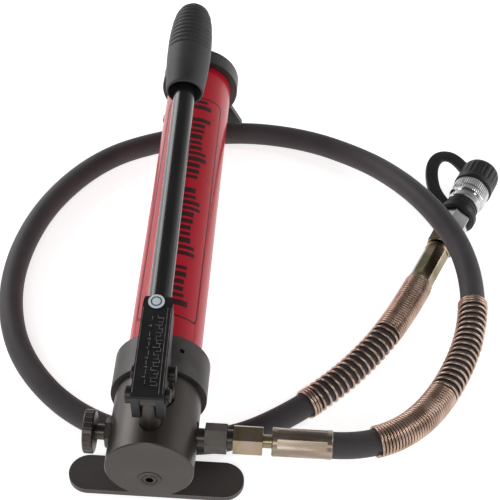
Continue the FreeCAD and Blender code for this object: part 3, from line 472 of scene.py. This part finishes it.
def rings(centre, rows):
    """Vertices and wall faces of rings of (level, radius) that lie on the lever's top."""
    out = WEB_SIDE.cross(LEVER_AHEAD)
    verts = []
    for level, radius in rows:
        for turn in turns(RING_SIDES):
            arm = WEB_SIDE * math.cos(turn) + LEVER_AHEAD * math.sin(turn)
            verts.append(centre + arm * radius + out * level)
    return verts, walls(len(rows), RING_SIDES)


def add_sticker():
    """A round white sticker with a plain ring, where the fork meets the tube."""
    centre = on_lever(-0.0012, 0.0712, 0.0114)
    verts, faces = rings(centre, ((0, 0.0060), (0.0003, 0.00585)))
    faces.append(tuple(range(RING_SIDES, 2 * RING_SIDES)))
    plate = add_mesh("sticker", verts, faces, "white", 30)
    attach(plate, "lever")
    verts, faces = rings(centre + LEVER_UP * 0.00028,
                         ((0, 0.0042), (0.0001, 0.00415), (0.0001, 0.0031)))
    ring = add_mesh("sticker_ring", verts, faces, "sticker_blue", 30)
    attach(ring, "lever")


add_sticker()


# --------------------------------------------------------------- tank label
TANK_SKIN = 0.02845
PRINT_SKIN = 0.02862
LABEL_FRONT = 0.093
LABEL_REAR = 0.350
LABEL_SIDE = 54
HALF_LINE = 0.0006
BAR_GAP = 0.0030
GROUP_GAP = 0.0090


def tank_patch(start, finish, first, last):
    """A thin curved patch on the tank between two places and two angles from the top."""
    count = max(1, int((last - first) / 2.5))
    verts = []
    for i in range(count + 1):
        turn = math.radians(first + (last - first) * i / count)
        for radius in (TANK_SKIN, PRINT_SKIN):
            for place in (start, finish):
                verts.append(Vector((radius * math.sin(turn), place,
                                     AXIS_Z + radius * math.cos(turn))))
    faces = []
    for i in range(count):
        a = 4 * i
        faces += [(a + 2, a + 3, a + 7, a + 6), (a, a + 2, a + 6, a + 4),
                  (a + 1, a + 5, a + 7, a + 3), (a, a + 4, a + 5, a + 1)]
    faces += [(0, 1, 3, 2), (4 * count, 4 * count + 2, 4 * count + 3, 4 * count + 1)]
    return verts, faces


def label_outline():
    """The printed frame: two hoops, two long sides and their stepped corners."""
    parts = []
    for place in (LABEL_FRONT, LABEL_REAR):
        parts.append(tank_patch(place - HALF_LINE, place + HALF_LINE, 4 - LABEL_SIDE,
                                LABEL_SIDE - 4))
    for sign in (-1, 1):
        edge = sign * LABEL_SIDE
        parts.append(tank_patch(LABEL_FRONT + 0.005, LABEL_REAR - 0.005, edge - 1.1, edge + 1.1))
        for place, way in ((LABEL_FRONT + 0.0015, 1), (LABEL_REAR - 0.0015, -1)):
            parts.append(tank_patch(place - 0.0012, place + 0.0012,
                                    *sorted((edge - 5 * sign, edge - 2 * sign))))
            step = place + way * 0.0014
            parts.append(tank_patch(step - 0.0014, step + 0.0014,
                                    *sorted((edge - 2.2 * sign, edge - 0.2 * sign))))
    return parts


def label_bars():
    """A column of plain bars of uneven width and reach, in three groups."""
    parts = []
    place = 0.104
    widths = (0.0056, 0.0034, 0.0044, 0.0036, 0.0050, 0.0034, 0.0040, 0.0046)
    reaches = (32, 24, 22, 24, 34, 24, 22)
    starts = (-6, -2, 2, -4)
    for i in range(30):
        width = widths[(5 * i) % len(widths)]
        if i % 11 == 6:
            place += GROUP_GAP
        parts.append(tank_patch(place, place + width, starts[i % 4], reaches[(3 * i) % 7]))
        place += width + BAR_GAP
    return parts


def add_label():
    """The tank's print, without any lettering."""
    verts, faces = gathered(label_outline() + label_bars())
    item = add_mesh("tank_print", verts, faces, "ink", 30)
    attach(item, "pump")


add_label()


# ------------------------------------------------------------ coupler pieces
SLEEVE_PLACE = 0.1054
FLUTES = 54
FLUTE_DEPTH = 0.0004
CAP_PLACE = 0.1296
CAP_RIBS = 20
CAP_RIB_DEPTH = 0.0007
SPRING_PLACE = 0.0996
SPRING_LENGTH = 0.0209


def coupler_place(distance):
    """A place on the coupler's axis."""
    return COUPLER_START + COUPLER_AXIS * distance


def sleeve_relief(distance, radius, turn):
    """Fine axial knurling on the sleeve's three bands."""
    on_band = (0.0010 < distance < 0.0060 and radius > 0.0142) or radius > 0.0161
    if not on_band:
        return radius
    return radius - FLUTE_DEPTH * (0.5 - 0.5 * math.cos(FLUTES * turn))


def add_sleeve():
    """The knurled locking sleeve."""
    outline = [
        (0.0160, 0.00935), (0.0000, 0.00935), (0.0000, 0.0134), (0.0008, 0.0146),
        (0.0062, 0.0146), (0.0070, 0.0136), (0.0076, 0.0136), (0.0084, 0.0160), (0.0088, 0.0164),
        (0.0126, 0.0164), (0.0130, 0.0150), (0.0146, 0.0150), (0.0150, 0.0164), (0.0230, 0.0164),
        (0.0234, 0.0150), (0.0410, 0.0150), (0.0420, 0.0140), (0.0420, 0.0122), (0.0160, 0.0122),
        (0.0160, 0.00935),
    ]
    verts, faces = revolved(outline, coupler_place(SLEEVE_PLACE), COUPLER_AXIS, UP, 6 * FLUTES,
                            sleeve_relief)
    # The outline ends where it starts, so the two end faces are left out.
    item = add_mesh("sleeve_knurled", verts, faces[:-2], "chrome", 25)
    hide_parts("coupler_sleeve")
    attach(item, "coupler_sleeve")
    return item


def cap_relief(distance, radius, turn):
    """Shallow grip ribs round the cap behind its rim."""
    if not 0.006 < distance < 0.024 or radius < 0.0150:
        return radius
    fade = min(1.0, (distance - 0.006) / 0.002, (0.024 - distance) / 0.004)
    return radius - CAP_RIB_DEPTH * fade * (0.5 + 0.5 * math.cos(CAP_RIBS * turn)) ** 3


def add_cap():
    """The moulded dust cap."""
    outline = fine_outline([
        (0.0182, 0.0004), (0.0182, 0.0151), (0.0000, 0.0151), (0.0000, 0.0167), (0.0008, 0.0175),
        (0.0040, 0.0175), (0.0048, 0.0171), (0.0060, 0.0173), (0.0200, 0.0173), (0.0225, 0.0170),
        (0.0250, 0.0159), (0.0266, 0.0142), (0.0276, 0.0120), (0.0282, 0.0096), (0.0282, 0.0004),
    ], 0.0012)
    verts, faces = revolved(outline, coupler_place(CAP_PLACE), COUPLER_AXIS, UP, 8 * CAP_RIBS,
                            cap_relief)
    item = add_mesh("cap_ribbed", verts, faces, "rubber", 50)
    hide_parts("dust_cap")
    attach(item, "dust_cap")
    return item


def add_poppet_spring():
    """The coil of six turns behind the poppet."""
    side = COUPLER_AXIS.cross(UP)
    steps = 24
    count = 6 * steps
    points = []
    for i in range(count + 1):
        turn = 2 * math.pi * i / steps
        points.append(coupler_place(SPRING_PLACE + SPRING_LENGTH * i / count)
                      + (side * math.cos(turn) + UP * math.sin(turn)) * 0.0052)
    verts, faces = tube_along(points, 0.0006, 8)
    item = add_mesh("spring_coil", verts, faces, "steel", 80)
    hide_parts("poppet_spring")
    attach(item, "pump")
    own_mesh(item)
    return item


STRAP_POINTS = [(0.2295, 0.2990, 0.0176), (0.2200, 0.3130, 0.0176), (0.2165, 0.3345, 0.0176),
                (0.2180, 0.3540, 0.0176), (0.2260, 0.3665, 0.0176), (0.2400, 0.3635, 0.0176),
                (0.2490, 0.3460, 0.0176)]
STRAP_HALF_WIDTH = 0.0058
STRAP_HALF_HEIGHT = 0.0023


def squared(value):
    """Push a sine or cosine outwards, which flattens an oval's sides."""
    return math.copysign(abs(value) ** 0.5, value)


def add_strap(points):
    """The flat strap that bends between its ring and the cap."""
    verts = []
    sides = 24
    for (side, up), point in zip(frame_along(points), points):
        for turn in turns(sides):
            across = squared(math.cos(turn)) * STRAP_HALF_WIDTH
            rise = squared(math.sin(turn)) * STRAP_HALF_HEIGHT
            verts.append(point + side * across + up * rise)
    item = add_mesh("strap_band", verts, walls(len(points), sides), "rubber", 50)
    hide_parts("cap_strap")
    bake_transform(item)
    return item


# --------------------------------------------------------------------- hose
HOSE_POINTS = [
    (0.1319, -0.0010, 0.0585), (0.1520, -0.0010, 0.0582), (0.1860, 0.0160, 0.0555),
    (0.2140, 0.0530, 0.0500), (0.2380, 0.1120, 0.0445), (0.2455, 0.1690, 0.0425),
    (0.2375, 0.2230, 0.0435), (0.2135, 0.2690, 0.0435), (0.1870, 0.3170, 0.0295),
    (0.1540, 0.3600, 0.0138), (0.0990, 0.3880, 0.0102), (0.0320, 0.3935, 0.0103),
    (-0.0360, 0.3750, 0.0102), (-0.0880, 0.3450, 0.0103), (-0.1270, 0.2870, 0.0102),
    (-0.1440, 0.2210, 0.0103), (-0.1420, 0.1580, 0.0102), (-0.1200, 0.0990, 0.0103),
    (-0.0720, 0.0490, 0.0102), (-0.0100, 0.0275, 0.0103), (0.0520, 0.0310, 0.0102),
    (0.1040, 0.0620, 0.0127), (0.1500, 0.1080, 0.0134), (0.18525, 0.16026, 0.0176),
    (0.2030, 0.2027, 0.0176),
]


def spline(name, points, bevel=0.0):
    """A smooth NURBS line through control points, with a round section if asked."""
    data = bpy.data.curves.new(name, "CURVE")
    data.dimensions = "3D"
    line = data.splines.new("NURBS")
    line.points.add(len(points) - 1)
    for control, point in zip(line.points, points):
        control.co = (*point, 1)
    line.order_u = 3
    line.use_endpoint_u = True
    line.resolution_u = 16
    data.bevel_depth = bevel
    data.bevel_resolution = 8
    data.use_fill_caps = bevel > 0
    item = bpy.data.objects.new(name, data)
    scene.collection.objects.link(item)
    return item


def line_points(points):
    """The points of the evaluated NURBS line."""
    item = spline("route", points)
    mesh = bpy.data.meshes.new_from_object(item)
    found = [v.co.copy() for v in mesh.vertices]
    bpy.data.objects.remove(item)
    bpy.data.meshes.remove(mesh)
    return found


class Path:
    """A line of points that can be read at any distance from its start."""

    def __init__(self, points):
        self.points = points
        self.frames = frame_along(points)
        self.reach = [0.0]
        for a, b in zip(points, points[1:]):
            self.reach.append(self.reach[-1] + (b - a).length)
        self.length = self.reach[-1]

    def at(self, distance):
        """Point, side and up at a distance."""
        distance = min(max(distance, 0), self.length)
        i = 0
        while i < len(self.points) - 2 and self.reach[i + 1] < distance:
            i += 1
        part = (distance - self.reach[i]) / (self.reach[i + 1] - self.reach[i])
        point = self.points[i].lerp(self.points[i + 1], part)
        side = self.frames[i][0].lerp(self.frames[i + 1][0], part).normalized()
        up = self.frames[i][1].lerp(self.frames[i + 1][1], part).normalized()
        return point, side, up


ROUTE = Path(line_points(HOSE_POINTS))
HOSE_RADIUS = 0.010
WIRE_RADIUS = 0.00108
TIGHT = 0.00245
END_TURNS = 0.0025
OPEN = 0.0062


def coil_centres(start, stages, radius):
    """The centre line of a coil round the hose: stages are (turns, pitch) from start onwards."""
    centres = []
    steps = 20
    place = start
    turn = 0.0
    last_pitch = stages[0][1]
    for count, pitch in stages:
        for k in range(count * steps):
            step = last_pitch + (pitch - last_pitch) * min(1.0, k / steps)
            point, side, up = ROUTE.at(place)
            centres.append(point + (side * math.cos(turn) + up * math.sin(turn)) * radius)
            place += step / steps
            turn += 2 * math.pi / steps
        last_pitch = pitch
    return centres


def add_guard(name, start, stages, node):
    """A wire guard round the hose, wound tight near its fitting and open further on."""
    centres = coil_centres(start, stages, HOSE_RADIUS + 0.0001 + WIRE_RADIUS)
    verts, faces = tube_along(centres, WIRE_RADIUS, 8)
    item = add_mesh(name, verts, faces, "guard", 80)
    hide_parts(node)
    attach(item, "pump")
    return item


def add_hose():
    """The rubber hose."""
    item = spline("hose_tube", HOSE_POINTS, HOSE_RADIUS)
    item.data.materials.append(MATERIALS["hose"])
    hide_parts("hose")
    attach(item, "pump")
    return item


hose = add_hose()
guard_1 = add_guard("guard_coil_1", 0.032, [(31, TIGHT), (16, OPEN), (3, END_TURNS)],
                    "spring_guard_1")
sleeve = add_sleeve()
cap = add_cap()
spring_coil = add_poppet_spring()
strap = add_strap(line_points(STRAP_POINTS))
guard_2 = add_guard("guard_coil_2", ROUTE.length - 0.163,
                    [(3, END_TURNS), (15, OPEN), (25, TIGHT)], "spring_guard_2")
print("hose line", round(ROUTE.length, 4))


# ----------------------------------------------------------- floor and light
def add_floor():
    """A wide pale floor."""
    data = bpy.data.meshes.new("floor")
    data.from_pydata([(-4, -4, 0), (4, -4, 0), (4, 4, 0), (-4, 4, 0)], [], [(0, 1, 2, 3)])
    item = bpy.data.objects.new("floor", data)
    scene.collection.objects.link(item)
    made, _, _, shader = new_material("floor_white")
    shader.inputs["Base Color"].default_value = (0.85, 0.85, 0.85, 1)
    shader.inputs["Roughness"].default_value = 0.9
    shader.inputs["Emission Color"].default_value = (1, 1, 1, 1)
    shader.inputs["Emission Strength"].default_value = 0.72
    data.materials.append(made)


def add_light(name, place, size, power, aim=(0.03, 0.15, 0.08)):
    """A soft rectangular light aimed at a place on the pump."""
    data = bpy.data.lights.new(name, "AREA")
    data.shape = "RECTANGLE"
    data.size, data.size_y = size
    data.energy = power
    item = bpy.data.objects.new(name, data)
    item.location = place
    item.rotation_euler = (Vector(aim) - Vector(place)).to_track_quat("-Z", "Y").to_euler()
    scene.collection.objects.link(item)


def light_scene():
    """Studio light: a surround bright at the horizon and three soft boxes."""
    world = bpy.data.worlds.new("surround")
    scene.world = world
    world.use_nodes = True
    tree = world.node_tree.nodes
    links = world.node_tree.links
    place = tree.new("ShaderNodeTexCoord")
    parts = tree.new("ShaderNodeSeparateXYZ")
    links.new(place.outputs["Generated"], parts.inputs["Vector"])
    ramp = tree.new("ShaderNodeValToRGB")
    ramp.color_ramp.elements[0].position = 0.0
    ramp.color_ramp.elements[0].color = (0.80, 0.80, 0.80, 1)
    ramp.color_ramp.elements[1].position = 0.75
    ramp.color_ramp.elements[1].color = (0.17, 0.17, 0.17, 1)
    links.new(parts.outputs["Z"], ramp.inputs["Fac"])
    links.new(ramp.outputs["Color"], tree["Background"].inputs["Color"])
    tree["Background"].inputs["Strength"].default_value = 1.0
    add_light("left_rear_box", (-1.15, 1.15, 0.62), (1.1, 0.9), 12)
    add_light("right_box", (1.5, 0.5, 0.75), (0.35, 1.0), 7)
    add_light("front_box", (-0.3, -1.3, 1.3), (0.9, 0.6), 7)
    scene.view_settings.view_transform = "Standard"


add_floor()
light_scene()
